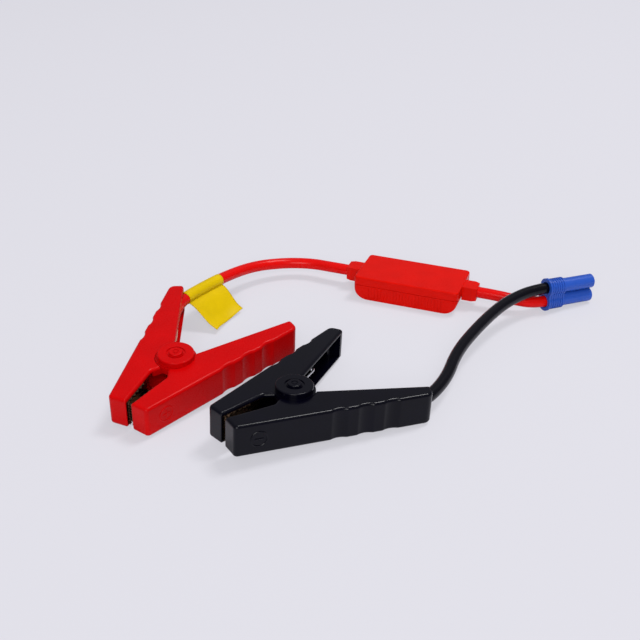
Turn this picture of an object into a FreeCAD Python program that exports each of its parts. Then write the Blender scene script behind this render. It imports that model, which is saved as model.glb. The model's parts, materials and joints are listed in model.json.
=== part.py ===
"""Jump leads with a protection module: two sprung battery clamps, an inline module and a two pole plug.

Units are millimetres, +Z is up, and the set lies on the plane z = 0.
The origin is the centre of the module's base. +X runs towards the plug and +Y away from the clamps.
Each clamp, the module and the plug are built in a frame of their own and then laid in their place.
A clamp's own frame has the hinge axis on z, the jaws towards -x and the arm that holds the cable on +y.
"""
import FreeCAD, Part
import math
import os
from FreeCAD import Placement, Rotation, Vector

# --- clamp: moulded arms ---
ARM_WIDTH = 16.9            # across the two cheeks, along the hinge axis
CHEEK = 1.8                 # wall of each cheek
BACK_WALL = 2.4             # wall along the outer edge of an arm
TIP_WALL = 1.6              # wall at the jaw tip
END_WALL = 1.8              # wall at the handle's end
JAW_REACH = 41.0            # hinge axis to jaw tip
TIP_HALF_GAP = 1.6          # inner edge at the tip, from the closing plane
TIP_DEPTH = 11.0            # outer edge at the tip, from the closing plane
TIP_CORNER = 2.2
JAW_ROOT_X = -14.9          # where the jaw's inner edge ends
JAW_ROOT_HALF_GAP = 4.7
BACK_SLOPE = 17.2           # outer edge against the closing plane, degrees
HANDLE_REACH = 57.0         # hinge axis to the handle's inner end
HANDLE_SLOPE = 28.9         # handle's inner edge against the closing plane, degrees
HANDLE_OFFSET = 1.8         # handle's inner edge passes the hinge axis at this distance
HANDLE_END_LEAN = 31.0      # handle's end face against the hinge plane, degrees
HANDLE_CORNER = 1.6
END_CORNER = 4.0
RIM_FILLET = 1.6
SCALLOP_START = 7.4         # hinge axis to the middle of the first finger scallop
SCALLOP_PITCH = 12.7
SCALLOP_COUNT = 3
SCALLOP_RADIUS = 9.0
SCALLOP_DEPTH = 0.9
CREST_FILLET = 2.2
RIB = 1.0
RIB_RISE = 2.2
RIB_XS = (28.0, 47.0)

# --- clamp: hinge ---
PIN_RADIUS = 2.5
PIN_CLEARANCE = 0.05
PIN_HEAD_RADIUS = 3.2
PIN_HEAD = 0.8
OUTER_EAR_RADIUS = 10.3
EAR = 2.0
EAR_GAP = 0.3               # between an outer ear and an inner ear, and round the outer ear
INNER_EAR_RADIUS = 9.6
PAD_RADIUS = 14.5
HUB_RADIUS = 9.2
HUB_RISE = 2.9
HUB_EDGE = 0.6
HUB_RING = 0.9              # width of the groove round the plug
HUB_RING_SETBACK = 0.45
HUB_RING_DEPTH = 0.5
PLUG_RADIUS = 3.5
PLUG_THICKNESS = 1.9
PLUG_PROUD = 0.8
PLUG_EDGE = 0.4
PLUG_RING_RADIUS = 1.6      # ring sunk in the plug's face
PLUG_RING = 0.5
PLUG_RING_DEPTH = 0.3
SEAT_GAP = 0.1

# --- clamp: spring ---
WIRE = 1.3
COIL_RADIUS = 5.2
WIRE_GAP = 0.06
COIL_SWEEP = 330.0
BRIDGE_LEAN = 2.5           # middle loop closes in on the free handle's inner edge, degrees
BRIDGE_REACH = 33.0
BRIDGE_HOOK = 6.5
BRIDGE_HOOK_TURN = 60.0
BRIDGE_HOOK_RADIUS = 4.0
BRIDGE_COIL_SWEEP = 180.0
LEG_REACH = 19.0
POST_RADIUS = 1.6

# --- clamp: toothed jaws and cable lug ---
SHEET = 0.9
TOOTH_PITCH = 3.0
TOOTH_HEIGHT = 1.3
TOOTH_COUNT = 5
TOOTH_TIP_GAP = 0.35        # tooth tips to the closing plane
JAW_WEB_DEPTH = 5.0
COMB_PITCH = 1.6
COMB_HEIGHT = 0.8
STRAP_WIDTH = 4.4
STRAP = 1.0
STRAP_LAP = 9.0             # strap's length on the jaw's back
CRIMP_RADIUS = 3.4
CRIMP_LENGTH = 8.0

# --- cables ---
CABLE_RADIUS = 3.25
CORE_RADIUS = 2.2
CABLE_CLEARANCE = 0.35
CABLE_SLOT_ROOM = 1.1       # round the cable where it leaves the handle
CABLE_SLOT_SETBACK = 4.0    # slot's start before the bend, and its middle below it
CABLE_SLOT_DROP = 0.5
CABLE_START = Vector(27.5, 22.0, 0)      # crimp end in the clamp's frame, from the arm's mid plane
CABLE_MIDDLE = Vector(39.8, 29.1, 0)
CABLE_BEND = Vector(53.6, 33.4, 0)       # where the cable turns out of the handle
ARC_SHARE = 0.45

# --- label folded round the red cable, with its two ends stuck together as a flag ---
LABEL_MIDDLE = Vector(-120.76, -21.36, 16.4)   # the cable's route under the label
LABEL_RUN_END = Vector(-109.4, -4.5, 14.9)
LABEL_SETBACK = 7.0         # from the cable's bend to the label
LABEL_REST = 3.0            # from the label to the end of its run
LABEL_SLEEVE = 0.5
LABEL_GAP = 0.4
LABEL_FLAG = 0.8
LABEL_BEND = 3.0
LABEL_PROFILE = ((6.5, 4.2), (11.5, 9.5), (17.0, 13.6))   # flag's middle line, across and down from the cable

# --- module ---
MODULE_LENGTH = 62.5
MODULE_WIDTH = 31.5
MODULE_HEIGHT = 14.2
MODULE_SPLIT = 9.2
MODULE_WALL = 1.8
MODULE_CORNER = 2.2
MODULE_TOP_EDGE = 0.9
MODULE_KEEL_RADIUS = 8.5
MODULE_YAW = -20.7
LIP = 1.0
LIP_RISE = 1.2
LIP_CLEARANCE = 0.1
PARTING_WIDTH = 0.35        # groove round the outside where the shells meet
PARTING_DEPTH = 0.35
GROOVE_PITCH = 1.9
GROOVE_RADIUS = 0.22
GLAND_LENGTH = 8.4
GLAND_WIDTH = 9.8
GLAND_HEIGHT = 8.3
GLAND_SHOULDER = 2.6
GLAND_FLANGE = 1.4
GLAND_FLANGE_DROP = 2.0
GLAND_SEAT = 0.25
BOARD = Vector(40.0, 22.0, 1.6)
BOARD_Z = 4.2
DIODE = Vector(9.0, 7.0, 2.4)
DIODE_PITCH = 11.0
PAD_PLATE = 0.8

# --- plug ---
PLUG_GRIP_LENGTH = 10.5
PLUG_LENGTH = 31.4
BARREL_RADIUS = 4.1
BARREL_PITCH = 8.7
LOBE_RADIUS = 5.05
PLUG_RIM = 1.3
PLUG_RIM_RISE = 0.5
PLUG_RIBS = 6
PLUG_RIB_DEPTH = 0.35
CONTACT_RADIUS = 3.05
CONTACT_BORE = 2.5
CONTACT_SETBACK = 1.2
CONTACT_LENGTH = 26.0
CONTACT_BORE_DEPTH = 14.0
CUP_DEPTH = 6.0
CONTACT_CLEARANCE = 0.05
PLUG_YAW = 22.9

# --- cable routes beyond the clamps, and the straight run out of each strain relief and cup ---
RED_SWEEP = (Vector(-95.1, 15.0, 11.2), Vector(-77.1, 24.1, 8.9), Vector(-60.1, 24.3, 8.5))
RED_PLUG_BEND = Vector(56.6, -20.8, 8.1)
BLACK_SWEEP = (Vector(8.4, -107.0, 9.9), Vector(16.2, -84.5, 12.2), Vector(29.8, -62.1, 13.6),
               Vector(45.2, -40.7, 14.6), Vector(56.9, -29.5, 15.0))
CLAMP_SIDE_RUN = 10.0
PLUG_SIDE_RUN = 9.9
RED_CUP_RUN = 10.7
BLACK_CUP_RUN = 11.8

# --- layout: hinge x and y, turn about z, rise of the handles and rise of the cable arm's side, degrees ---
RED_CLAMP = (-126.8, -101.6, 62.6, 3.5, 3.8)
BLACK_CLAMP = (-67.5, -131.9, 37.7, -3.3, 0.0)
PLUG_REAR_XY = (75.1, -18.5)

X, Y, Z = Vector(1, 0, 0), Vector(0, 1, 0), Vector(0, 0, 1)
MID = ARM_WIDTH / 2


def tan(angle):
    return math.tan(math.radians(angle))


def cos(angle):
    return math.cos(math.radians(angle))


def sin(angle):
    return math.sin(math.radians(angle))


def rounded_wire(corners):
    """Closed wire through (x, y, radius) corners, each rounded by a tangent arc."""
    edges = []
    starts, ends = [], []
    count = len(corners)
    for i, (x, y, radius) in enumerate(corners):
        here = Vector(x, y, 0)
        back = (Vector(*corners[i - 1][:2], 0) - here).normalize()
        ahead = (Vector(*corners[(i + 1) % count][:2], 0) - here).normalize()
        reach = radius / math.tan(back.getAngle(ahead) / 2)
        start, end = here + back * reach, here + ahead * reach
        starts.append(start)
        ends.append(end)
        if radius > 0:
            middle_way = (back + ahead).normalize()
            middle = here + middle_way * (radius / math.sin(back.getAngle(ahead) / 2) - radius)
            edges.append((i, Part.Arc(start, middle, end).toShape()))
    ordered = []
    for i in range(count):
        ordered += [edge for index, edge in edges if index == i]
        ordered.append(Part.LineSegment(ends[i], starts[(i + 1) % count]).toShape())
    return Part.Wire(ordered)


def slab(corners, low, high):
    """Solid between z = low and z = high over a rounded outline."""
    face = Part.Face(rounded_wire(corners))
    return face.extrude(Z * (high - low)).translated(Z * low)


def disc(radius, low, high, x=0.0, y=0.0):
    return Part.makeCylinder(radius, high - low, Vector(x, y, low))


def box(one, other):
    """Block between two opposite corners, given in any order."""
    low = Vector(min(one.x, other.x), min(one.y, other.y), min(one.z, other.z))
    high = Vector(max(one.x, other.x), max(one.y, other.y), max(one.z, other.z))
    size = high - low
    return Part.makeBox(size.x, size.y, size.z, low)


def fuse_all(shapes):
    return shapes[0].multiFuse(shapes[1:]).removeSplitter()


def solid_of(shape):
    return shape.Solids[0] if len(shape.Solids) == 1 else Part.makeCompound(shape.Solids)


# ---------------------------------------------------------------- clamp arms

def back_y(x):
    """Outer edge of an arm."""
    return TIP_DEPTH + tan(BACK_SLOPE) * (x + JAW_REACH)


def handle_y(x):
    """Inner edge of a handle."""
    return HANDLE_OFFSET / cos(HANDLE_SLOPE) + tan(HANDLE_SLOPE) * x


def handle_end_outer():
    """Where the handle's end face meets the outer edge."""
    run = (back_y(HANDLE_REACH) - handle_y(HANDLE_REACH)) / (1 / tan(HANDLE_END_LEAN) + tan(BACK_SLOPE))
    x = HANDLE_REACH - run
    return x, back_y(x)


def arm_corners():
    end_x, end_y = handle_end_outer()
    return [
        (1 - JAW_REACH, TIP_HALF_GAP, 0.4),
        (JAW_ROOT_X, JAW_ROOT_HALF_GAP, 2.5),
        (-INNER_EAR_RADIUS, TIP_HALF_GAP, 0),
        (3.0, handle_y(3.0), 0),
        (HANDLE_REACH, handle_y(HANDLE_REACH), HANDLE_CORNER),
        (end_x, end_y, END_CORNER),
        (-JAW_REACH, TIP_DEPTH, TIP_CORNER),
    ]


def arm_cavity():
    """Hollow between the cheeks, open along the inner edge of jaw and handle."""
    end_x, end_y = handle_end_outer()
    drop = BACK_WALL / cos(BACK_SLOPE)
    inset = END_WALL / cos(HANDLE_END_LEAN)
    low_y = -OUTER_EAR_RADIUS - 5
    reach = handle_y(HANDLE_REACH) - low_y
    corners = [
        (TIP_WALL + 0.4 - JAW_REACH, low_y, 0),
        (HANDLE_REACH - inset + reach * tan(HANDLE_END_LEAN), low_y, 0),
        (end_x - inset - drop * tan(HANDLE_END_LEAN) * 0.4, end_y - drop, 2.2),
        (TIP_WALL - JAW_REACH, TIP_DEPTH - drop, 0.8),
    ]
    return slab(corners, CHEEK, ARM_WIDTH - CHEEK)


def on_rim(edge):
    """True for the outline's edges on a cheek's face, along tip, back and end."""
    middle = edge.valueAt((edge.FirstParameter + edge.LastParameter) / 2)
    on_face = abs(middle.z) < 1e-6 or abs(middle.z - ARM_WIDTH) < 1e-6
    flat = abs(edge.BoundBox.ZLength) < 1e-6
    outer = middle.y > back_y(middle.x) - 1.5
    at_tip = middle.x < 2 - JAW_REACH and middle.y > TIP_HALF_GAP + 1
    at_end = middle.x > handle_end_outer()[0] and middle.y > handle_y(middle.x) + 1
    return on_face and flat and (outer or at_tip or at_end)


def scalloped(body):
    """Finger scallops cut in the handle's back, with their crests rounded."""
    lift = SCALLOP_RADIUS - SCALLOP_DEPTH
    centres = [SCALLOP_START + i * SCALLOP_PITCH for i in range(SCALLOP_COUNT)]
    for x in centres:
        body = body.cut(disc(SCALLOP_RADIUS, -1, ARM_WIDTH + 1,
                             x - lift * sin(BACK_SLOPE), back_y(x) + lift * cos(BACK_SLOPE)))
    near, far = centres[0] - SCALLOP_RADIUS, centres[-1] + SCALLOP_RADIUS

    def on_crest(edge):
        box_size = edge.BoundBox
        upright = box_size.ZLength > ARM_WIDTH - 0.1 and box_size.XLength < 1e-3
        x, y = box_size.Center.x, box_size.Center.y
        return upright and near < x < far and abs(y - back_y(x)) < 0.05

    return body.makeFillet(CREST_FILLET, [edge for edge in body.Edges if on_crest(edge)])


def handle_rib(x):
    """Low stiffening rib across the channel, on the back wall."""
    drop = BACK_WALL / cos(BACK_SLOPE)
    top = back_y(x) - drop + 0.5
    return box(Vector(x, top - RIB_RISE, CHEEK - 0.2), Vector(x + RIB, top, ARM_WIDTH - CHEEK + 0.2))


def arm_shell(rib_xs):
    body = scalloped(slab(arm_corners(), 0, ARM_WIDTH))
    body = body.makeFillet(RIM_FILLET, [edge for edge in body.Edges if on_rim(edge)])
    body = body.cut(arm_cavity())
    return fuse_all([body] + [handle_rib(x) for x in rib_xs])


def both_sides(shape):
    """The shape and its mirror image in the arm's mid plane."""
    return [shape, shape.mirror(Vector(0, 0, MID), Z)]


def cable_exit():
    """Slot in the handle's end wall and inner edge that lets the cable out."""
    radius = CABLE_RADIUS + CABLE_SLOT_ROOM
    start = CABLE_BEND + Vector(-CABLE_SLOT_SETBACK, -CABLE_SLOT_DROP, MID)
    length = HANDLE_REACH - start.x + 1
    round_part = Part.makeCylinder(radius, length, start, X)
    slot = box(Vector(start.x, handle_y(start.x) - radius, MID - radius),
               Vector(start.x + length, start.y, MID + radius))
    return round_part.fuse(slot)


def leg_end():
    """End of the spring's straight leg in the cable arm."""
    way = Vector(cos(HANDLE_SLOPE), sin(HANDLE_SLOPE), 0)
    side = Vector(-way.y, way.x, 0)
    return side * COIL_RADIUS + way * LEG_REACH


def cable_arm():
    body = arm_shell(RIB_XS[:1])
    ear_low = EAR + EAR_GAP
    ear_high = ear_low + EAR
    outline = slab(arm_corners(), 0, ARM_WIDTH)
    pad = outline.common(disc(PAD_RADIUS, CHEEK - 0.1, ear_high))
    ear = disc(INNER_EAR_RADIUS, ear_low, ear_high)
    clear = disc(OUTER_EAR_RADIUS + EAR_GAP, -1, ear_low)
    leg = leg_end()
    lift = WIRE / 2 + POST_RADIUS + WIRE_GAP
    post = disc(POST_RADIUS, CHEEK - 0.1, ear_high + WIRE + 0.4,
                leg.x - 2 - lift * sin(HANDLE_SLOPE), leg.y - 1 + lift * cos(HANDLE_SLOPE))
    added = both_sides(pad) + both_sides(post)
    body = fuse_all([body] + added)
    for cutter in both_sides(clear):
        body = body.cut(cutter)
    body = fuse_all([body] + both_sides(ear))
    bore = disc(PIN_RADIUS + PIN_CLEARANCE, -1, ARM_WIDTH + 1)
    return body.cut(bore).cut(cable_exit())


def hub():
    """Outer ear with the round hub that stands above the cheek."""
    ear = disc(OUTER_EAR_RADIUS, ARM_WIDTH - EAR, ARM_WIDTH)
    cap = disc(HUB_RADIUS, ARM_WIDTH - EAR / 2, ARM_WIDTH + HUB_RISE)
    top_edges = [edge for edge in cap.Edges if abs(edge.BoundBox.ZMin - ARM_WIDTH - HUB_RISE) < 1e-3
                 and abs(edge.BoundBox.ZLength) < 1e-3]
    cap = cap.makeFillet(HUB_EDGE, top_edges)
    inner = PLUG_RADIUS + HUB_RING_SETBACK
    low, high = ARM_WIDTH + HUB_RISE - HUB_RING_DEPTH, ARM_WIDTH + HUB_RISE + 1
    ring = disc(inner + HUB_RING, low, high).cut(disc(inner, low - 1, high + 1))
    return ear.fuse(cap).cut(ring)


def plug_pocket_depth():
    return PIN_HEAD + PLUG_THICKNESS + 2 * SEAT_GAP - PLUG_PROUD


def free_arm():
    body = arm_shell(RIB_XS).mirror(Vector(0, 0, 0), Y)
    body = fuse_all([body] + both_sides(hub()))
    inner_room = disc(INNER_EAR_RADIUS + EAR_GAP, EAR, ARM_WIDTH - EAR)
    bore = disc(PIN_RADIUS + PIN_CLEARANCE, -HUB_RISE - 1, ARM_WIDTH + HUB_RISE + 1)
    top = ARM_WIDTH + HUB_RISE
    pocket = disc(PLUG_RADIUS, top - plug_pocket_depth(), top + 1)
    body = body.cut(inner_room).cut(bore)
    for cutter in both_sides(pocket):
        body = body.cut(cutter)
    return body


def pivot_pin():
    """Steel pin with a riveted head sunk in each hub."""
    seat = ARM_WIDTH + HUB_RISE - plug_pocket_depth() + SEAT_GAP
    shank = disc(PIN_RADIUS, ARM_WIDTH - seat, seat)
    head = disc(PIN_HEAD_RADIUS, seat, seat + PIN_HEAD)
    head = head.makeChamfer(0.3, [head.Edges[0]])
    return fuse_all([shank] + both_sides(head))


def pivot_plugs():
    """Two round plugs that close the hubs over the pin's heads."""
    top = ARM_WIDTH + HUB_RISE + PLUG_PROUD
    plug = disc(PLUG_RADIUS - PIN_CLEARANCE, top - PLUG_THICKNESS, top)
    rim = [edge for edge in plug.Edges if edge.BoundBox.ZMin > top - 1e-3]
    low = top - PLUG_RING_DEPTH
    ring = disc(PLUG_RING_RADIUS, low, top + 1).cut(disc(PLUG_RING_RADIUS - PLUG_RING, low - 1, top + 2))
    return Part.makeCompound(both_sides(plug.makeFillet(PLUG_EDGE, rim).cut(ring)))


# ---------------------------------------------------------------- clamp spring

def swept_wire(edges):
    """Round wire of the spring along joined edges."""
    path = Part.Wire(edges)
    start = path.OrderedVertexes[0].Point
    way = path.OrderedEdges[0].tangentAt(path.OrderedEdges[0].FirstParameter)
    section = Part.Wire(Part.Circle(start, way, WIRE / 2).toShape())
    return path.makePipeShell([section], True, True)


def coil_arc(start_angle, sweep, level):
    """Stretch of a coil, anticlockwise from start_angle."""
    angles = [start_angle + share * sweep for share in (0, 0.5, 1)]
    points = [Vector(COIL_RADIUS * cos(angle), COIL_RADIUS * sin(angle), level) for angle in angles]
    return Part.Arc(*points).toShape(), points[0], points[2]


def spring_coils():
    """The two coils of the double torsion spring, each with its leg in the cable arm."""
    level = MID + (WIRE + WIRE_GAP) * 1.5
    arc, start, end = coil_arc(HANDLE_SLOPE + 90, COIL_SWEEP, level)
    leg = Part.LineSegment(leg_end() + Z * level, start).toShape()
    return Part.makeCompound(both_sides(swept_wire([leg, arc])))


def spring_bridge():
    """The spring's middle loop: two wires side by side that press on the free arm's handle."""
    half = (WIRE + WIRE_GAP) / 2
    lean = BRIDGE_LEAN - HANDLE_SLOPE
    arc, start, end = coil_arc(lean - 90 - BRIDGE_COIL_SWEEP, BRIDGE_COIL_SWEEP, 0)
    way = Vector(cos(lean), sin(lean), 0)
    hook_way = Vector(cos(lean - BRIDGE_HOOK_TURN), sin(lean - BRIDGE_HOOK_TURN), 0)
    knee = end + way * BRIDGE_REACH
    tip = knee + hook_way * BRIDGE_HOOK
    bend = BRIDGE_HOOK_RADIUS * tan(BRIDGE_HOOK_TURN / 2)
    bend_start, bend_end = knee - way * bend, knee + hook_way * bend
    towards = (hook_way - way).normalize()
    crest = knee + towards * (BRIDGE_HOOK_RADIUS / cos(BRIDGE_HOOK_TURN / 2) - BRIDGE_HOOK_RADIUS)
    run = [arc, Part.LineSegment(end, bend_start).toShape(), Part.Arc(bend_start, crest, bend_end).toShape(),
           Part.LineSegment(bend_end, tip).toShape()]
    low, high = Z * (MID - half), Z * (MID + half)
    turn = Part.Arc(tip + low, tip + Z * MID + hook_way * half, tip + high).toShape()
    return swept_wire([edge.translated(low) for edge in run] + [turn] + [edge.translated(high) for edge in run])


# ---------------------------------------------------------------- toothed jaws and lug

def jaw_y(x):
    """Inner edge of a moulded jaw."""
    share = (x + JAW_REACH - 1) / (JAW_ROOT_X + JAW_REACH - 1)
    return TIP_HALF_GAP + share * (JAW_ROOT_HALF_GAP - TIP_HALF_GAP)


def toothed_flange(low):
    """Cheek plate of the metal jaw, with saw teeth on its inner edge."""
    front = TIP_WALL + 0.6 - JAW_REACH
    teeth_end = front + TOOTH_COUNT * TOOTH_PITCH
    rear = JAW_ROOT_X + 1
    lift = TOOTH_TIP_GAP - TIP_HALF_GAP
    corners = []
    for i in range(TOOTH_COUNT):
        x = front + i * TOOTH_PITCH
        base = jaw_y(x) + lift
        corners += [(x, base, 0), (x + TOOTH_PITCH * 0.7, base + TOOTH_HEIGHT, 0)]
    corners += [(teeth_end, jaw_y(teeth_end) + lift, 0), (teeth_end + 1.5, jaw_y(teeth_end) + 0.4, 0)]
    corners += [(rear, JAW_ROOT_HALF_GAP + 0.4, 0), (rear, JAW_ROOT_HALF_GAP + JAW_WEB_DEPTH, 0)]
    corners += [(front, TIP_HALF_GAP + JAW_WEB_DEPTH, 0)]
    return slab(corners, low, low + SHEET)


def comb(front):
    """Front tab across the jaw's mouth, with fine teeth on its edge."""
    low, high = CHEEK, ARM_WIDTH - CHEEK
    top = TIP_HALF_GAP + JAW_WEB_DEPTH
    edge = TOOTH_TIP_GAP
    count = int((high - low) / COMB_PITCH)
    step = (high - low) / count
    points = [Vector(front, top, low), Vector(front, edge + COMB_HEIGHT, low)]
    for i in range(count):
        points.append(Vector(front, edge, low + (i + 0.5) * step))
        points.append(Vector(front, edge + COMB_HEIGHT, low + (i + 1) * step))
    points += [Vector(front, top, high), Vector(front, top, low)]
    return Part.Face(Part.makePolygon(points)).extrude(X * SHEET)


def toothed_jaw():
    """Copper plated jaw: a folded channel with teeth on both sides and across its front."""
    front = TIP_WALL + 0.6 - JAW_REACH
    rear = JAW_ROOT_X + 1
    web_corners = [
        (front, TIP_HALF_GAP + JAW_WEB_DEPTH - SHEET, 0),
        (rear, JAW_ROOT_HALF_GAP + JAW_WEB_DEPTH - SHEET, 0),
        (rear, JAW_ROOT_HALF_GAP + JAW_WEB_DEPTH, 0),
        (front, TIP_HALF_GAP + JAW_WEB_DEPTH, 0),
    ]
    web = slab(web_corners, CHEEK, ARM_WIDTH - CHEEK)
    flanges = [toothed_flange(CHEEK), toothed_flange(ARM_WIDTH - CHEEK - SHEET)]
    return fuse_all([web, comb(front)] + flanges)


def cable_lug():
    """Copper strap on the back of the jaw, ending in a crimp barrel round the cable's core."""
    rear = JAW_ROOT_X + 1
    seat = JAW_ROOT_HALF_GAP + JAW_WEB_DEPTH
    slope = (JAW_ROOT_HALF_GAP - TIP_HALF_GAP) / (JAW_ROOT_X + JAW_REACH - 1)
    way = (CABLE_MIDDLE - CABLE_START).normalize()
    crimp_start = CABLE_START - way * CRIMP_LENGTH
    low, high = MID - STRAP_WIDTH / 2, MID + STRAP_WIDTH / 2
    inner = [(rear - STRAP_LAP, seat - STRAP_LAP * slope), (rear, seat), (2.0, seat + 3.2),
             (crimp_start.x + 1, crimp_start.y + 0.4)]
    corners = [(x, y, 0) for x, y in inner] + [(x, y + STRAP, 0) for x, y in reversed(inner)]
    strap = slab(corners, low, high)
    barrel = Part.makeCylinder(CRIMP_RADIUS, CRIMP_LENGTH, crimp_start + Z * MID, way)
    barrel = barrel.makeFillet(0.6, [edge for edge in barrel.Edges if edge.Length > 10])
    return fuse_all([strap, barrel])


# ---------------------------------------------------------------- laying a clamp down

def clamp_placement(layout, flipped):
    """Lays a clamp on its hub. A flipped clamp is the same moulding turned over on its other cheek."""
    x, y, turn, handle_rise, side_rise = layout
    spin = Rotation(Z, turn).multiply(Rotation(Y, -handle_rise)).multiply(Rotation(X, side_rise))
    upright = spin.multVec(Z).z
    lean = math.sqrt(1 - upright ** 2)
    on_hub = (HUB_RISE - HUB_EDGE) * upright + (HUB_RADIUS - HUB_EDGE) * lean + HUB_EDGE
    plug_radius = PLUG_RADIUS - PIN_CLEARANCE
    on_plug = (HUB_RISE + PLUG_PROUD - PLUG_EDGE) * upright + (plug_radius - PLUG_EDGE) * lean + PLUG_EDGE
    height = max(on_hub, on_plug)
    place = Placement(Vector(x, y, height), spin)
    if flipped:
        place = place.multiply(Placement(Z * ARM_WIDTH, Rotation(X, 180)))
    return place


CLAMP_PIECES = {
    "cable_arm": cable_arm,
    "free_arm": free_arm,
    "pivot_pin": pivot_pin,
    "pivot_plugs": pivot_plugs,
    "spring_coils": spring_coils,
    "spring_bridge": spring_bridge,
    "cable_lug": cable_lug,
    "cable_jaw": toothed_jaw,
    "free_jaw": lambda: toothed_jaw().mirror(Vector(0, 0, 0), Y),
}


def clamp(name, layout, flipped, pieces):
    place = clamp_placement(layout, flipped)
    nodes = {}
    for piece, shape in pieces.items():
        laid = shape.copy()
        laid.Placement = place.multiply(laid.Placement)
        nodes[name + "_" + piece] = laid
    return nodes


# ---------------------------------------------------------------- module

def module_shape(inset):
    """Outer form of the module, or its inside at a wall of the given thickness."""
    half_x, half_y = MODULE_LENGTH / 2 - inset, MODULE_WIDTH / 2 - inset
    keel = max(MODULE_KEEL_RADIUS - inset, 1.0)
    low, high = inset, MODULE_HEIGHT - inset
    side = rounded_wire([(-half_x, low, keel), (half_x, low, keel), (half_x, high, 0), (-half_x, high, 0)])
    side.rotate(Vector(0, 0, 0), X, 90)
    side.translate(Vector(0, half_y, 0))
    body = Part.Face(side).extrude(Vector(0, -2 * half_y, 0))
    radius = max(MODULE_CORNER - inset, 0.4)
    plan = slab([(-half_x, -half_y, radius), (half_x, -half_y, radius), (half_x, half_y, radius),
                 (-half_x, half_y, radius)], low, high)
    return body.common(plan)


def split_lip(gap):
    """Ring inside the wall where the lower shell's lip stands in the upper shell."""
    half_x, half_y = MODULE_LENGTH / 2 - MODULE_WALL, MODULE_WIDTH / 2 - MODULE_WALL
    return Vector(half_x + LIP - gap, half_y + LIP - gap, 0)


def lip_block(gap, low, high):
    size = split_lip(gap)
    return box(Vector(-size.x, -size.y, low), Vector(size.x, size.y, high))


def gland_room(clearance):
    """Space that the two strain reliefs take in the end walls."""
    half_w, half_h = GLAND_WIDTH / 2 - 1.2 + clearance, GLAND_HEIGHT / 2 - 1.2 + clearance
    reach = MODULE_LENGTH / 2 + 1
    return box(Vector(-reach, -half_w, MODULE_SPLIT - half_h), Vector(reach, half_w, MODULE_SPLIT + half_h))


def grip_grooves():
    """Fine upright grooves along both long sides of the lower shell."""
    count = int((MODULE_LENGTH - 2 * MODULE_KEEL_RADIUS) / GROOVE_PITCH)
    cutters = []
    for side in (-1, 1):
        for i in range(count + 1):
            x = (i - count / 2) * GROOVE_PITCH
            cutters.append(disc(GROOVE_RADIUS, 1.5, MODULE_SPLIT - 1.0, x, side * MODULE_WIDTH / 2))
    return Part.makeCompound(cutters)


def parting_groove():
    low = Vector(-MODULE_LENGTH, -MODULE_WIDTH, MODULE_SPLIT - PARTING_WIDTH)
    return box(low, Vector(-low.x, -low.y, MODULE_SPLIT)).cut(module_shape(PARTING_DEPTH))


def module_lower_shell():
    shell = module_shape(0).cut(module_shape(MODULE_WALL))
    half = box(Vector(-MODULE_LENGTH, -MODULE_WIDTH, 0), Vector(MODULE_LENGTH, MODULE_WIDTH, MODULE_SPLIT))
    lower = shell.common(half)
    lip = lip_block(LIP_CLEARANCE, MODULE_SPLIT - 0.5, MODULE_SPLIT + LIP_RISE)
    lip = lip.cut(lip_block(LIP, MODULE_SPLIT - 1, MODULE_SPLIT + LIP_RISE + 1))
    lower = fuse_all([lower, lip] + board_posts())
    return lower.cut(gland_room(0)).cut(grip_grooves()).cut(parting_groove())


def module_upper_shell():
    shape = module_shape(0)
    rim = [edge for edge in shape.Edges if edge.BoundBox.ZMin > MODULE_HEIGHT - 1e-3]
    shell = shape.makeFillet(MODULE_TOP_EDGE, rim).cut(module_shape(MODULE_WALL))
    half = box(Vector(-MODULE_LENGTH, -MODULE_WIDTH, MODULE_SPLIT),
               Vector(MODULE_LENGTH, MODULE_WIDTH, MODULE_HEIGHT + 1))
    upper = shell.common(half)
    return upper.cut(lip_block(0, MODULE_SPLIT - 1, MODULE_SPLIT + LIP_RISE + LIP_CLEARANCE)).cut(gland_room(0))


def board_posts():
    """Four posts on the module's floor that carry the circuit board."""
    reach_x, reach_y = BOARD.x / 2 - 3, BOARD.y / 2 - 3
    return [disc(1.8, MODULE_WALL - 0.2, BOARD_Z, i * reach_x, j * reach_y) for i in (-1, 1) for j in (-1, 1)]


def module_board():
    return box(Vector(-BOARD.x / 2, -BOARD.y / 2, BOARD_Z), Vector(BOARD.x / 2, BOARD.y / 2, BOARD_Z + BOARD.z))


def module_diodes():
    """Three power diodes side by side on the board."""
    top = BOARD_Z + BOARD.z
    diodes = []
    for i in (-1, 0, 1):
        low = Vector(i * DIODE_PITCH - DIODE.x / 2, -DIODE.y / 2, top)
        body = box(low, low + DIODE)
        diodes.append(body.makeChamfer(0.4, [edge for edge in body.Edges if edge.BoundBox.ZMin > top + 0.1]))
    return Part.makeCompound(diodes)


def module_bus_bars():
    """Two copper bars that join the diodes' sides to the cable cores."""
    top = BOARD_Z + BOARD.z
    reach = BOARD.x / 2
    bars = []
    for side in (-1, 1):
        near, far = side * (DIODE.y / 2 + 0.4), side * (DIODE.y / 2 + 2.8)
        row = DIODE_PITCH + DIODE.x / 2
        rail = box(Vector(-row, near, top), Vector(row, far, top + PAD_PLATE))
        arm = box(Vector(side * (row + 0.6), -2.4, top), Vector(side * (reach - 0.5), far, top + PAD_PLATE))
        link = box(Vector(side * (row - 1), near, top), Vector(side * (row + 1), far, top + PAD_PLATE))
        bars.append(fuse_all([rail, link, arm]))
    return Part.makeCompound(bars)


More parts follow.
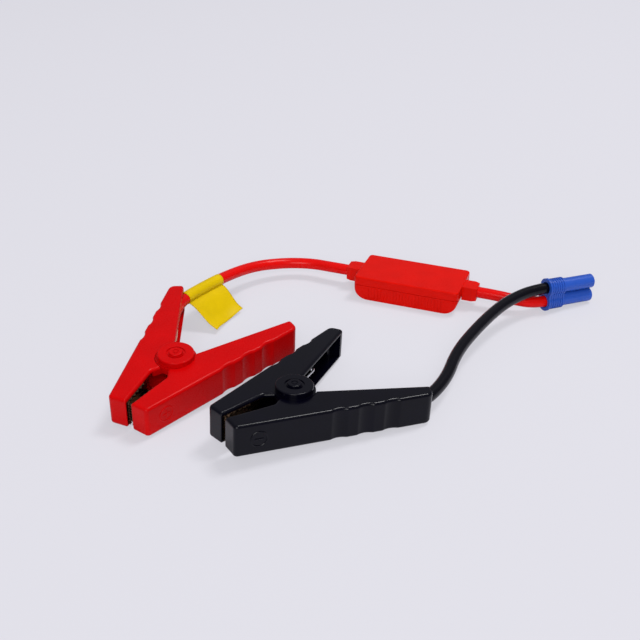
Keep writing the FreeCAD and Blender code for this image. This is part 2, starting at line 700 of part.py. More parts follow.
def module_gland():
    """Strain relief at +x: tapered stub outside the end wall and a flange inside it."""
    face = MODULE_LENGTH / 2
    half_w, half_h = GLAND_WIDTH / 2, GLAND_HEIGHT / 2
    neck_w, neck_h = half_w - 1.2, half_h - 1.2

    def section(x, w, h):
        turns = ((-1, -1), (1, -1), (1, 1), (-1, 1), (-1, -1))
        points = [Vector(x, i * w, MODULE_SPLIT + j * h) for i, j in turns]
        return Part.makePolygon(points)

    stub = box(Vector(face, -half_w, MODULE_SPLIT - half_h),
               Vector(face + GLAND_LENGTH - GLAND_SHOULDER, half_w, MODULE_SPLIT + half_h))
    nose = Part.makeLoft([section(face + GLAND_LENGTH - GLAND_SHOULDER, half_w, half_h),
                          section(face + GLAND_LENGTH, CABLE_RADIUS + 0.9, CABLE_RADIUS + 0.6)], True, True)
    neck = box(Vector(face - MODULE_WALL - GLAND_SEAT, -neck_w, MODULE_SPLIT - neck_h),
               Vector(face + 0.5, neck_w, MODULE_SPLIT + neck_h))
    seat = face - MODULE_WALL - GLAND_SEAT
    flange = box(Vector(seat - GLAND_FLANGE, -half_w, MODULE_SPLIT - GLAND_FLANGE_DROP),
                 Vector(seat, half_w, MODULE_HEIGHT - MODULE_WALL - GLAND_SEAT))
    body = fuse_all([stub, nose, neck, flange])
    bore = Part.makeCylinder(CORE_RADIUS + PIN_CLEARANCE, 30, Vector(face - 15, 0, MODULE_SPLIT), X)
    return body.cut(bore)


def module_cores():
    """Bared cable cores, from each cable's end through its strain relief to the bus bars."""
    start = MODULE_LENGTH / 2 + GLAND_LENGTH
    end = BOARD.x / 2 - 1.5
    top = BOARD_Z + BOARD.z + PAD_PLATE
    rod = Part.makeCylinder(CORE_RADIUS, start - end, Vector(end, 0, MODULE_SPLIT), X)
    foot = box(Vector(end, -1.5, top), Vector(end + 2.0, 1.5, MODULE_SPLIT))
    core = fuse_all([rod, foot])
    return Part.makeCompound([core, core.rotated(Vector(0, 0, 0), Z, 180)])


def module():
    place = Placement(Vector(0, 0, 0), Rotation(Z, MODULE_YAW))
    gland = module_gland()
    shapes = {
        "module_lower_shell": module_lower_shell(),
        "module_upper_shell": module_upper_shell(),
        "module_board": module_board(),
        "module_diodes": module_diodes(),
        "module_bus_bars": module_bus_bars(),
        "module_cores": module_cores(),
        "module_gland_plug_side": gland,
        "module_gland_clamp_side": gland.rotated(Vector(0, 0, 0), Z, 180),
    }
    for shape in shapes.values():
        shape.Placement = place.multiply(shape.Placement)
    return shapes


# ---------------------------------------------------------------- plug

def lobes(radius, low, high):
    """Two round lobes and the flat web between them, stacked along z, from x = low to x = high."""
    rods = [Part.makeCylinder(radius, high - low, Vector(low, 0, side * BARREL_PITCH / 2), X)
            for side in (-1, 1)]
    waist = radius * 0.82
    web = box(Vector(low, -waist, -BARREL_PITCH / 2), Vector(high, waist, BARREL_PITCH / 2))
    return fuse_all(rods + [web])


def plug_housing():
    """Two pole housing: ribbed grip with a rim, and two barrels round the contacts."""
    grip = lobes(LOBE_RADIUS - PLUG_RIB_DEPTH, 0, PLUG_GRIP_LENGTH)
    rim = lobes(LOBE_RADIUS + PLUG_RIM_RISE, 0, PLUG_RIM)
    step = (PLUG_GRIP_LENGTH - PLUG_RIM) / PLUG_RIBS
    ribs = [lobes(LOBE_RADIUS, PLUG_RIM + (i + 0.45) * step, PLUG_RIM + (i + 1) * step)
            for i in range(PLUG_RIBS)]
    barrels = []
    for side in (-1, 1):
        barrel = Part.makeCylinder(BARREL_RADIUS, PLUG_LENGTH - PLUG_GRIP_LENGTH + 1,
                                   Vector(PLUG_GRIP_LENGTH - 1, 0, side * BARREL_PITCH / 2), X)
        tip = [edge for edge in barrel.Edges if edge.BoundBox.XMin > PLUG_LENGTH - 0.1]
        barrels.append(barrel.makeChamfer(0.5, tip))
    body = fuse_all([grip, rim] + ribs + barrels)
    key = box(Vector(PLUG_GRIP_LENGTH, BARREL_RADIUS - 0.7, -BARREL_PITCH / 2 - BARREL_RADIUS),
              Vector(PLUG_LENGTH + 1, BARREL_RADIUS + 1, -BARREL_PITCH / 2 + BARREL_RADIUS))
    body = body.cut(key)
    for side in (-1, 1):
        centre = side * BARREL_PITCH / 2
        bore = Part.makeCylinder(CONTACT_RADIUS + CONTACT_CLEARANCE, PLUG_LENGTH + 2, Vector(-1, 0, centre), X)
        recess = Part.makeCylinder(CABLE_RADIUS + CABLE_CLEARANCE, cup_x(), Vector(0, 0, centre), X)
        body = body.cut(bore).cut(recess)
    return body


def cup_x():
    """Rear end of the contacts, where the cables' cores are soldered in."""
    return PLUG_LENGTH - CONTACT_SETBACK - CONTACT_LENGTH


def plug_contact(side):
    """Gold plated socket contact with a solder cup."""
    base = Vector(cup_x(), 0, side * BARREL_PITCH / 2)
    body = Part.makeCylinder(CONTACT_RADIUS, CONTACT_LENGTH, base, X)
    socket = Part.makeCylinder(CONTACT_BORE, CONTACT_BORE_DEPTH + 1,
                               base + X * (CONTACT_LENGTH - CONTACT_BORE_DEPTH), X)
    cup = Part.makeCylinder(CORE_RADIUS, CUP_DEPTH + 1, base - X, X)
    return body.cut(socket).cut(cup)


def plug_placement():
    """Lays the plug on its rim and on the end of its lower barrel."""
    rim = LOBE_RADIUS + PLUG_RIM_RISE
    pitch = math.degrees(math.asin((rim - BARREL_RADIUS) / (PLUG_LENGTH - PLUG_RIM)))
    height = (BARREL_PITCH / 2 + rim) * cos(pitch) + PLUG_RIM * sin(pitch)
    return Placement(Vector(*PLUG_REAR_XY, height), Rotation(Z, PLUG_YAW).multiply(Rotation(Y, pitch)))


def plug():
    shapes = {
        "plug_housing": plug_housing(),
        "plug_contact_black": plug_contact(1),
        "plug_contact_red": plug_contact(-1),
    }
    for shape in shapes.values():
        shape.Placement = plug_placement().multiply(shape.Placement)
    return shapes


# ---------------------------------------------------------------- cables

def cable_tube(name, route):
    """Round tube along straight runs joined by tangent arcs, as large as the runs allow."""
    edges = []
    radii = []
    length = 0.0
    last = route[0]
    for before, here, after in zip(route, route[1:], route[2:]):
        back, ahead = before - here, after - here
        turn = math.pi - back.getAngle(ahead)
        trim = ARC_SHARE * min(back.Length, ahead.Length)
        radius = trim / math.tan(turn / 2)
        back.normalize()
        ahead.normalize()
        start, end = here + back * trim, here + ahead * trim
        middle = here + (back + ahead).normalize() * (radius / math.cos(turn / 2) - radius)
        edges.append(Part.LineSegment(last, start).toShape())
        edges.append(Part.Arc(start, middle, end).toShape())
        length += (start - last).Length + radius * turn
        radii.append(round(radius, 1))
        last = end
    edges.append(Part.LineSegment(last, route[-1]).toShape())
    length += (route[-1] - last).Length
    path = Part.Wire(edges)
    way = (route[1] - route[0]).normalize()
    section = Part.Wire(Part.Circle(route[0], way, CABLE_RADIUS).toShape())
    tube = path.makePipeShell([section], True, True)
    expected = math.pi * CABLE_RADIUS ** 2 * length
    print(name, "length", round(length, 1), "radii", radii, "volume ratio", round(tube.Volume / expected, 4))
    return tube


def in_clamp(layout, flipped, point):
    return clamp_placement(layout, flipped).multVec(point + Z * MID)


def gland_points(side, run):
    """Cable end at a strain relief's face, and the point straight out from it."""
    spin = Rotation(Z, MODULE_YAW)
    reach = MODULE_LENGTH / 2 + GLAND_LENGTH
    face = spin.multVec(Vector(side * reach, 0, MODULE_SPLIT))
    out = spin.multVec(Vector(side * (reach + run), 0, MODULE_SPLIT))
    return face, out


def plug_points(side, run):
    place = plug_placement()
    seat = place.multVec(Vector(cup_x(), 0, side * BARREL_PITCH / 2))
    out = place.multVec(Vector(cup_x() - run, 0, side * BARREL_PITCH / 2))
    return seat, out


def cables():
    left_face, left_out = gland_points(-1, CLAMP_SIDE_RUN)
    right_face, right_out = gland_points(1, PLUG_SIDE_RUN)
    low_seat, low_out = plug_points(-1, RED_CUP_RUN)
    high_seat, high_out = plug_points(1, BLACK_CUP_RUN)
    in_handle = (CABLE_START, CABLE_MIDDLE, CABLE_BEND)
    red_long = [in_clamp(RED_CLAMP, False, point) for point in in_handle]
    red_long += [LABEL_MIDDLE, LABEL_RUN_END, *RED_SWEEP, left_out, left_face]
    red_short = [right_face, right_out, RED_PLUG_BEND, low_out, low_seat]
    black = [in_clamp(BLACK_CLAMP, True, point) for point in in_handle]
    black += [*BLACK_SWEEP, high_out, high_seat]
    routes = {"red_clamp_cable": red_long, "red_plug_cable": red_short, "black_cable": black}
    return {name: cable_tube(name, route) for name, route in routes.items()}


def cable_label():
    """Sleeve round the cable by the handle and the flag that hangs from its side."""
    bend = in_clamp(RED_CLAMP, False, CABLE_BEND)
    first = bend + (LABEL_MIDDLE - bend).normalize() * LABEL_SETBACK
    last = LABEL_RUN_END + (LABEL_MIDDLE - LABEL_RUN_END).normalize() * LABEL_REST
    way = last - first
    length = way.Length
    way.normalize()
    across = way.cross(Z).normalize()
    inner = CABLE_RADIUS + LABEL_GAP
    outer = inner + LABEL_SLEEVE
    half = LABEL_FLAG / 2
    line = ((0.0, outer - half),) + LABEL_PROFILE
    below = [(x, y + half, LABEL_BEND) for x, y in line[1:-1]]
    above = [(x, y - half, LABEL_BEND) for x, y in reversed(line[1:-1])]
    corners = [(line[0][0], line[0][1] + half, 0)] + below
    corners += [(line[-1][0], line[-1][1] + half, 0), (line[-1][0], line[-1][1] - half, 0)]
    corners += above + [(outer - half, 0.0, 0)]
    label = disc(outer, 0, length).fuse(slab(corners, 0, length)).cut(disc(inner, -1, length + 1))
    label.Placement = Placement(first, Rotation(across, across.cross(way), way, "ZXY"))
    return label


def build():
    pieces = {name: make() for name, make in CLAMP_PIECES.items()}
    nodes = {}
    nodes.update(clamp("red", RED_CLAMP, False, pieces))
    nodes.update(clamp("black", BLACK_CLAMP, True, pieces))
    nodes.update(module())
    nodes.update(plug())
    nodes.update(cables())
    nodes["cable_label"] = cable_label()
    return nodes


def main():
    os.makedirs("parts", exist_ok=True)
    for name, shape in build().items():
        solid_of(shape).exportStep(os.path.join("parts", name + ".step"))


main()
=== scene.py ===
"""Jump leads: cables, label, polarity marks, materials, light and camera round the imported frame. Metres."""

import json
import math

import bmesh
import bpy
from mathutils import Matrix, Vector


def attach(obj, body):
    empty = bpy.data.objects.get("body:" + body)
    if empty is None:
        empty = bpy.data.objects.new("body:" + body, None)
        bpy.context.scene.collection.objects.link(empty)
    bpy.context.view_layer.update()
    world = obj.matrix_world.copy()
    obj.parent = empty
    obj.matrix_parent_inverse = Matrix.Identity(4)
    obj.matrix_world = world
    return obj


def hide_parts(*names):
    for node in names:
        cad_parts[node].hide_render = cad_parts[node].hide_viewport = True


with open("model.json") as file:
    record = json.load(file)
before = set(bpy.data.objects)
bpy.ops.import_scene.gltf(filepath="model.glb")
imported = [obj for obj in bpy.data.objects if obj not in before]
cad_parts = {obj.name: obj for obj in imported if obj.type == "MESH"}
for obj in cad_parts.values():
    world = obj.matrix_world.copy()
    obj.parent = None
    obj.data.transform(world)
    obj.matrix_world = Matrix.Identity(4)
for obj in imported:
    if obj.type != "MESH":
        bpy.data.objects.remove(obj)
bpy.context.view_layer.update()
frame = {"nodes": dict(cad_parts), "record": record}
scene = bpy.context.scene

MM = 0.001

# --- camera ---
CAMERA_AT = (-0.0546, -0.5233, 0.2864)
CAMERA_DIP = math.radians(30.16)
LENS_MM = 56.11
SENSOR_MM = 36.0
CAMERA_CLIP = (0.01, 20.0)

# --- finishes, by material slot: colour, mean roughness, and what departs from finish_material's defaults ---
FINISHES = {
    "red_nylon": dict(colour=(0.48, 0.001, 0.0015), rough=0.28, spread=0.04, depth=0.005, specular=0.06),
    "black_nylon": dict(colour=(0.0009, 0.0008, 0.0040), rough=0.2, spread=0.03, tint=0.7, depth=0.003,
                        specular=0.15),
    "red_case": dict(colour=(0.575, 0.0038, 0.0008), rough=0.3, spread=0.04, depth=0.003, specular=0.06),
    "blue_nylon": dict(colour=(0.016, 0.07, 0.38), rough=0.28, spread=0.04, depth=0.005, specular=0.25),
    "pin_steel": dict(colour=(0.55, 0.55, 0.57), rough=0.3, metallic=1.0),
    "spring_steel": dict(colour=(0.62, 0.62, 0.64), rough=0.2, metallic=1.0),
    "copper": dict(colour=(0.83, 0.42, 0.26), rough=0.3, metallic=1.0),
    "jaw_copper": dict(colour=(0.17, 0.105, 0.06), rough=0.26, spread=0.1, tint=0.5, metallic=1.0),
    "gold": dict(colour=(0.93, 0.68, 0.28), rough=0.2, metallic=1.0),
    "board_green": dict(colour=(0.01, 0.16, 0.05), rough=0.3, coat=0.5),
    "diode_black": dict(colour=(0.02, 0.02, 0.02), rough=0.5),
    "red_silicone": dict(colour=(0.60, 0.002, 0.001), rough=0.26, depth=0.003, specular=0.12),
    "black_silicone": dict(colour=(0.0008, 0.0007, 0.003), rough=0.2, spread=0.03, tint=0.75, depth=0.002,
                           specular=0.16),
    "yellow_label": dict(colour=(0.60, 0.415, 0.0003), rough=0.42, depth=0.004, specular=0.06),
}
BROAD_SCALE, BROAD_DETAIL = 90.0, 3.0       # noise that mottles the colour
FINE_SCALE, FINE_DETAIL = 2500.0, 2.0       # noise of roughness and bump
NOISE_RANGE = (0.3, 0.7)                    # the noise's middle part, which remap stretches
BUMP_STRENGTH = 0.5
COAT_ROUGHNESS = 0.15

# --- cables, with the routes that the CAD tubes follow ---
CABLE_DIAMETER = 0.0065
CURVE_STEPS = 24
CURVE_ORDER = 3
CABLE_ROUNDNESS = 8
RED_CLAMP_ROUTE = [
    (-0.13344, -0.06792, 0.01551), (-0.13409, -0.05379, 0.01673), (-0.13157, -0.03960, 0.01786),
    (-0.12076, -0.02136, 0.01640), (-0.10940, -0.00450, 0.01490), (-0.09510, 0.01500, 0.01120),
    (-0.07710, 0.02410, 0.00890), (-0.06010, 0.02430, 0.00850), (-0.04644, 0.01755, 0.00920),
    (-0.03709, 0.01402, 0.00920),
]
RED_PLUG_ROUTE = [
    (0.03709, -0.01402, 0.00920), (0.04635, -0.01751, 0.00920), (0.05660, -0.02080, 0.00810),
    (0.06893, -0.02111, 0.00592), (0.07877, -0.01695, 0.00540),
]
BLACK_ROUTE = [
    (-0.03194, -0.13222, 0.01072), (-0.01788, -0.13033, 0.01002), (-0.00435, -0.12531, 0.00922),
    (0.00840, -0.10700, 0.00990), (0.01620, -0.08450, 0.01220), (0.02980, -0.06210, 0.01360),
    (0.04520, -0.04070, 0.01460), (0.05690, -0.02950, 0.01500), (0.06830, -0.02137, 0.01466),
    (0.07916, -0.01679, 0.01409),
]

# --- label: a sleeve round the red cable, with its two ends stuck together as a flag ---
LABEL_START = 0.0315        # along the cable from its start in the clamp
LABEL_END = 0.0630
LABEL_RADIUS = 3.42 * MM
LABEL_FILM = 0.16 * MM
FLAG_LINE = ((2.6, 2.2), (5.8, 4.0), (9.8, 7.8), (14.0, 12.0), (18.4, 14.6))   # mm across and down
FLAG_TAPER = 0.06           # the flag is longer at its near edge and shorter at its far edge by this share
FLAG_WAVE = 0.9 * MM
FLAG_WAVES, FLAG_PHASE = 1.15, 0.12         # waves along the flag's edge, and where the first one starts
FLAG_GAP = 0.55             # each layer lies this share of the film's thickness off the flag's middle line
FLAG_STEPS = 5              # between two points of FLAG_LINE
LABEL_ROWS = 33
WRAP_STEPS = 28

# --- clamp, in its own frame: jaws towards -x, cable arm on +y, hinge axis on z with the mid plane at 0 ---
JAW_REACH = 41.0 * MM
TIP_DEPTH = 11.0 * MM
BACK_SLOPE = math.radians(17.2)
MARK_SETBACK = 11.5 * MM    # from the jaw's tip to the polarity mark
MARK_RADIUS = 3.9 * MM
MARK_LINE = 0.33 * MM
MARK_RISE = 0.28 * MM
MARK_BAR = 1.1 * MARK_RADIUS
RING_STEPS = 40
RING_TOP = 0.4              # flat share of the ring's half width
BAR_BEVEL = 0.6             # share of the bar's half width that its bevel takes
BEVEL_START = 0.5           # share of the rise where both bevels start

# --- stage ---
BACKDROP = (0.690, 0.683, 0.735, 1)
FLOOR_HALF, FLOOR_CELLS = 4.0, 8
FLOOR_DROP = 0.0002
FLOOR_GLOW = 0.70           # share of the floor that the camera sees evenly lit
FLOOR_FADE = (1.0, 3.2)     # distances between which that share grows to the whole, so no horizon shows
SKY_COLOUR = (0.95, 0.95, 1.03, 1)
SKY_LOW, SKY_HIGH = 0.32, 0.52              # strength near the horizon and overhead
SKY_RISE = (0.35, 0.95)     # sines of the heights between which the strength rises
LAMP_AIM = (-0.03, -0.06, 0)
LAMPS = (                   # name, place, size and watts
    ("overhead", (1.05, 0.55, 2.80), (0.60, 1.00), 60.0),
    ("front", (-0.20, -2.60, 1.60), (1.8, 1.4), 64.0),
)


def link(piece):
    scene.collection.objects.link(piece)
    return piece


def mesh_piece(name, bm):
    """Mesh object from a bmesh, smooth shaded."""
    bmesh.ops.recalc_face_normals(bm, faces=bm.faces)
    data = bpy.data.meshes.new(name)
    bm.to_mesh(data)
    bm.free()
    data.shade_smooth()
    return link(bpy.data.objects.new(name, data))


# ---------------------------------------------------------------- camera

def make_camera():
    data = bpy.data.cameras.new("camera")
    data.lens = LENS_MM
    data.sensor_width = SENSOR_MM
    data.clip_start, data.clip_end = CAMERA_CLIP
    camera = link(bpy.data.objects.new("camera", data))
    camera.location = CAMERA_AT
    camera.rotation_euler = (math.pi / 2 - CAMERA_DIP, 0, 0)
    scene.camera = camera


# ---------------------------------------------------------------- materials

def add_node(tree, kind, **inputs):
    node = tree.nodes.new(kind)
    for name, value in inputs.items():
        node.inputs[name].default_value = value
    return node


def noise_of(tree, coord, scale, detail):
    node = add_node(tree, "ShaderNodeTexNoise", Scale=scale, Detail=detail)
    tree.links.new(coord, node.inputs["Vector"])
    return node.outputs["Fac"]


def remap(tree, source, span, low, high, kind="LINEAR"):
    """The source's span stretched to low..high, and held there beyond it."""
    node = tree.nodes.new("ShaderNodeMapRange")
    node.interpolation_type = kind
    for name, value in zip(("From Min", "From Max", "To Min", "To Max"), (*span, low, high)):
        node.inputs[name].default_value = value
    tree.links.new(source, node.inputs["Value"])
    return node.outputs["Result"]


def mix_for_camera(tree, factor, lit, seen, output):
    """Shader mix between what lights the scene and what the camera sees, into the tree's output."""
    mix = tree.nodes.new("ShaderNodeMixShader")
    tree.links.new(factor, mix.inputs["Fac"])
    tree.links.new(lit.outputs[0], mix.inputs[1])
    tree.links.new(seen.outputs[0], mix.inputs[2])
    tree.links.new(mix.outputs[0], tree.nodes[output].inputs["Surface"])


def mixed(tree, factor, one, other):
    node = tree.nodes.new("ShaderNodeMix")
    node.data_type = "RGBA"
    node.inputs[6].default_value = (*one, 1)
    node.inputs[7].default_value = (*other, 1)
    tree.links.new(factor, node.inputs["Factor"])
    return node.outputs[2]


def finish_material(name, colour, rough, spread=0.05, tint=0.9, depth=0.015, metallic=0.0, coat=0.0,
                    specular=0.5):
    """Colour mottled down to tint times itself, roughness within spread, and a grain of depth millimetres."""
    material = bpy.data.materials.new(name)
    material.use_nodes = True
    tree = material.node_tree
    shader = tree.nodes["Principled BSDF"]
    shader.inputs["Metallic"].default_value = metallic
    shader.inputs["Specular IOR Level"].default_value = specular
    if coat:
        shader.inputs["Coat Weight"].default_value = coat
        shader.inputs["Coat Roughness"].default_value = COAT_ROUGHNESS
    coord = tree.nodes.new("ShaderNodeTexCoord").outputs["Object"]
    broad = noise_of(tree, coord, BROAD_SCALE, BROAD_DETAIL)
    fine = noise_of(tree, coord, FINE_SCALE, FINE_DETAIL)
    darker = tuple(c * tint for c in colour)
    mottle = mixed(tree, remap(tree, broad, NOISE_RANGE, 0.0, 1.0), colour, darker)
    roughness = remap(tree, fine, NOISE_RANGE, rough - spread, rough + spread)
    bump = add_node(tree, "ShaderNodeBump", Strength=BUMP_STRENGTH, Distance=depth * MM)
    tree.links.new(mottle, shader.inputs["Base Color"])
    tree.links.new(roughness, shader.inputs["Roughness"])
    tree.links.new(fine, bump.inputs["Height"])
    tree.links.new(bump.outputs["Normal"], shader.inputs["Normal"])
    return material


def dress(piece, slot):
    piece.data.materials.clear()
    piece.data.materials.append(MATERIALS[slot])


def dress_cad_nodes():
    for row in frame["record"]["subparts"]:
        node = frame["nodes"][row["node"]]
        node.data.materials.clear()
        node.data.materials.append(MATERIALS[row["material_slot"]])


# ---------------------------------------------------------------- cables

def spline_of(name, route):
    """Curve object whose control points are the route."""
    data = bpy.data.curves.new(name, "CURVE")
    data.dimensions = "3D"
    data.resolution_u = CURVE_STEPS
    spline = data.splines.new("NURBS")
    spline.points.add(len(route) - 1)
    for point, place in zip(spline.points, route):
        point.co = (*place, 1)
    spline.order_u = CURVE_ORDER
    spline.use_endpoint_u = True
    spline.use_smooth = True
    return link(bpy.data.objects.new(name, data))


def make_cable(node, route, slot, with_pieces):
    piece = spline_of(node + "_run", route)
    piece.data.bevel_depth = CABLE_DIAMETER / 2
    piece.data.bevel_resolution = CABLE_ROUNDNESS
    piece.data.use_fill_caps = True
    dress(piece, slot)
    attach(piece, "leads")
    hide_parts(node)


# ---------------------------------------------------------------- label

def spline_points(route):
    """Points along the route's NURBS line, in order."""
    curve = spline_of("line", route)
    mesh = bpy.data.meshes.new_from_object(curve)
    points = [v.co.copy() for v in mesh.vertices]
    bpy.data.meshes.remove(mesh)
    bpy.data.objects.remove(curve)
    return points


def frames_along(points, start, end, count):
    """Evenly spaced (place, across, up) along the line between two lengths from its start."""
    lengths = [0.0]
    for one, other in zip(points, points[1:]):
        lengths.append(lengths[-1] + (other - one).length)
    frames = []
    for i in range(count):
        want = start + (end - start) * i / (count - 1)
        k = next(j for j in range(1, len(points)) if lengths[j] >= want)
        share = (want - lengths[k - 1]) / (lengths[k] - lengths[k - 1])
        way = (points[k] - points[k - 1]).normalized()
        across = way.cross(Vector((0, 0, 1))).normalized()
        frames.append((points[k - 1].lerp(points[k], share), across, across.cross(way)))
    return frames


def smooth_line(points, steps):
    """Catmull-Rom line through 2D points."""
    ends = [2 * points[0] - points[1]] + points + [2 * points[-1] - points[-2]]
    line = []
    for a, b, c, d in zip(ends, ends[1:], ends[2:], ends[3:]):
        for i in range(steps):
            t = i / steps
            line.append(0.5 * (2 * b + (c - a) * t + (2 * a - 5 * b + 4 * c - d) * t * t
                               + (3 * b - a - 3 * c + d) * t ** 3))
    return line + [points[-1]]


def flag_layer(flag, run, side):
    """One layer of the flag at a share of the label's run: the flag's line tapered, waved and set aside."""
    layer = []
    for i, point in enumerate(flag):
        share = i / (len(flag) - 1)
        ahead, behind = flag[min(i + 1, len(flag) - 1)], flag[max(i - 1, 0)]
        normal = Vector((behind.y - ahead.y, ahead.x - behind.x)).normalized()
        wave = FLAG_WAVE * share ** 2 * math.sin(math.tau * (FLAG_WAVES * run + FLAG_PHASE))
        reach = 1 + FLAG_TAPER * (1 - 2 * run) * share
        layer.append(point * reach + normal * (wave + side * LABEL_FILM * FLAG_GAP))
    return layer


def make_label():
    """Film wrapped once round the cable: in along the flag, round the cable and out along the flag."""
    flag = smooth_line([Vector((x, -y)) * MM for x, y in FLAG_LINE], FLAG_STEPS)
    root = math.atan2(flag[0].y, flag[0].x)
    turns = [root - math.tau * i / WRAP_STEPS for i in range(1, WRAP_STEPS)]
    wrap = [Vector((math.cos(turn), math.sin(turn))) * LABEL_RADIUS for turn in turns]
    rows = frames_along(spline_points(RED_CLAMP_ROUTE), LABEL_START, LABEL_END, LABEL_ROWS)
    bm = bmesh.new()
    grid = []
    for r, (place, across, up) in enumerate(rows):
        run = r / (len(rows) - 1)
        section = flag_layer(flag, run, -1)[::-1] + wrap + flag_layer(flag, run, 1)
        grid.append([bm.verts.new(place + across * q.x + up * q.y) for q in section])
    for one, other in zip(grid, grid[1:]):
        for a, b, c, d in zip(one, one[1:], other[1:], other):
            bm.faces.new((a, b, c, d))
    label = mesh_piece("cable_label_film", bm)
    thick = label.modifiers.new("film", "SOLIDIFY")
    thick.thickness = LABEL_FILM
    thick.offset = 0
    dress(label, "yellow_label")
    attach(label, "leads")
    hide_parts("cable_label")
    return label


# ---------------------------------------------------------------- polarity marks

def clamp_matrix(colour):
    """The clamp's own frame in the row: jaws towards -x, cable arm on +y, hinge axis on z."""
    joint = next(j for j in frame["record"]["behaviour"]["joints"] if j["name"] == colour + "_jaw_hinge")
    grip = next(m for m in frame["record"]["mounts"] if m["name"] == colour + "_jaw_grip")
    z = Vector(joint["axis"]).normalized()
    x = -Vector(grip["axis"])
    x = (x - z * x.dot(z)).normalized()
    y = z.cross(x)
    matrix = Matrix((x, y, z)).transposed().to_4x4()
    matrix.translation = Vector(joint["pos_m"])
    return matrix


def ring_of(bm, matrix, radius, half_line, rise):
    """Raised ring with a bevelled top, on the plane z = 0."""
    inner = ((-half_line, -rise), (-half_line, rise * BEVEL_START), (-half_line * RING_TOP, rise))
    outline = [(radius + r, z) for r, z in inner] + [(radius - r, z) for r, z in reversed(inner)]
    loops = []
    for i in range(RING_STEPS):
        turn = math.tau * i / RING_STEPS
        loops.append([bm.verts.new(matrix @ Vector((r * math.cos(turn), r * math.sin(turn), z)))
                      for r, z in outline])
    for one, other in zip(loops, loops[1:] + loops[:1]):
        for k in range(len(outline) - 1):
            bm.faces.new((one[k], one[k + 1], other[k + 1], other[k]))


def bar_of(bm, matrix, length, half_line, rise):
    """Raised bar along x with a bevelled top, on the plane z = 0."""
    corners = ((-1, -1), (1, -1), (1, 1), (-1, 1))
    rings = []
    for inset, z in ((0.0, -rise), (0.0, rise * BEVEL_START), (half_line * BAR_BEVEL, rise)):
        x, y = length / 2 - inset, half_line - inset
        rings.append([bm.verts.new(matrix @ Vector((a * x, b * y, z))) for a, b in corners])
    for one, other in zip(rings, rings[1:]):
        for k in range(len(corners)):
            after = (k + 1) % len(corners)
            bm.faces.new((one[k], one[after], other[after], other[k]))
    bm.faces.new(rings[-1])


def make_marks():
    """A ring with the clamp's sign, plus on red and minus on black, near the tip of each arm's back."""
    for colour in ("red", "black"):
        clamp = clamp_matrix(colour)
        for arm, side, body in (("cable", 1, "leads"), ("free", -1, colour + "_free_arm_group")):
            along = Vector((math.cos(BACK_SLOPE), side * math.sin(BACK_SLOPE), 0))
            out = Vector((-math.sin(BACK_SLOPE), side * math.cos(BACK_SLOPE), 0))
            place = Vector((-JAW_REACH, side * TIP_DEPTH, 0)) + along * MARK_SETBACK
            local = Matrix((along, out.cross(along), out)).transposed().to_4x4()
            local.translation = place
            matrix = clamp @ local
            bm = bmesh.new()
            ring_of(bm, matrix, MARK_RADIUS, MARK_LINE, MARK_RISE)
            bar_of(bm, matrix, MARK_BAR, MARK_LINE, MARK_RISE)
            if colour == "red":
                bar_of(bm, matrix @ Matrix.Rotation(math.pi / 2, 4, "Z"), MARK_BAR, MARK_LINE, MARK_RISE)
            mark = mesh_piece(f"{colour}_{arm}_arm_mark", bm)
            mark.data.shade_flat()
            dress(mark, colour + "_nylon")
            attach(mark, body)


# ---------------------------------------------------------------- stage

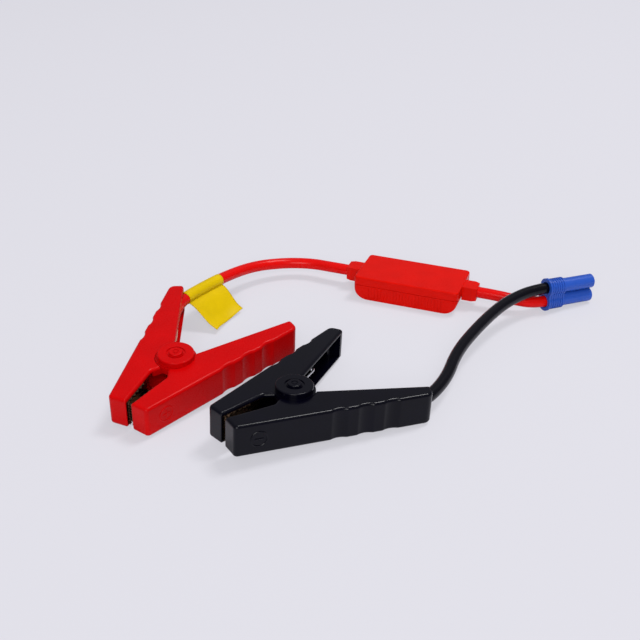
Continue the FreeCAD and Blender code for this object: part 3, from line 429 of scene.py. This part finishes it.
def make_floor():
    """Matt floor that keeps the object's shadow, mostly evenly lit for the camera and wholly so far away."""
    bm = bmesh.new()
    bmesh.ops.create_grid(bm, x_segments=FLOOR_CELLS, y_segments=FLOOR_CELLS, size=FLOOR_HALF)
    floor = mesh_piece("floor", bm)
    floor.location = (0, 0, -FLOOR_DROP)
    material = bpy.data.materials.new("floor")
    material.use_nodes = True
    tree = material.node_tree
    tree.nodes.remove(tree.nodes["Principled BSDF"])
    matt = add_node(tree, "ShaderNodeBsdfDiffuse", Color=BACKDROP)
    glow = add_node(tree, "ShaderNodeEmission", Color=BACKDROP, Strength=1.0)
    span = tree.nodes.new("ShaderNodeVectorMath")
    span.operation = "LENGTH"
    tree.links.new(tree.nodes.new("ShaderNodeTexCoord").outputs["Object"], span.inputs[0])
    share = tree.nodes.new("ShaderNodeMath")
    share.operation = "MULTIPLY"
    tree.links.new(tree.nodes.new("ShaderNodeLightPath").outputs["Is Camera Ray"], share.inputs[0])
    even = remap(tree, span.outputs["Value"], FLOOR_FADE, FLOOR_GLOW, 1.0, "SMOOTHSTEP")
    tree.links.new(even, share.inputs[1])
    mix_for_camera(tree, share.outputs[0], matt, glow, "Material Output")
    floor.data.materials.append(material)


def make_world():
    """Sky that is dim near the horizon and brighter overhead; the camera sees the backdrop's colour."""
    world = bpy.data.worlds.new("world")
    scene.world = world
    world.use_nodes = True
    tree = world.node_tree
    light = tree.nodes["Background"]
    light.inputs["Color"].default_value = SKY_COLOUR
    split = tree.nodes.new("ShaderNodeSeparateXYZ")
    tree.links.new(tree.nodes.new("ShaderNodeTexCoord").outputs["Generated"], split.inputs[0])
    strength = remap(tree, split.outputs["Z"], SKY_RISE, SKY_LOW, SKY_HIGH, "SMOOTHSTEP")
    tree.links.new(strength, light.inputs["Strength"])
    seen = add_node(tree, "ShaderNodeBackground", Color=BACKDROP, Strength=1.0)
    path = tree.nodes.new("ShaderNodeLightPath")
    mix_for_camera(tree, path.outputs["Is Camera Ray"], light, seen, "World Output")


def make_lamps():
    for name, place, size, energy in LAMPS:
        data = bpy.data.lights.new(name, "AREA")
        data.shape = "RECTANGLE"
        data.size, data.size_y = size
        data.energy = energy
        lamp = link(bpy.data.objects.new(name, data))
        lamp.location = place
        lamp.rotation_euler = (Vector(LAMP_AIM) - Vector(place)).to_track_quat("-Z", "Y").to_euler()


MATERIALS = {slot: finish_material(slot, **finish) for slot, finish in FINISHES.items()}
make_camera()
make_cable("red_clamp_cable", RED_CLAMP_ROUTE, "red_silicone", [make_label()])
make_cable("red_plug_cable", RED_PLUG_ROUTE, "red_silicone", [])
make_cable("black_cable", BLACK_ROUTE, "black_silicone", [])
dress_cad_nodes()
make_marks()
make_floor()
make_world()
make_lamps()
scene.view_settings.view_transform = "Standard"
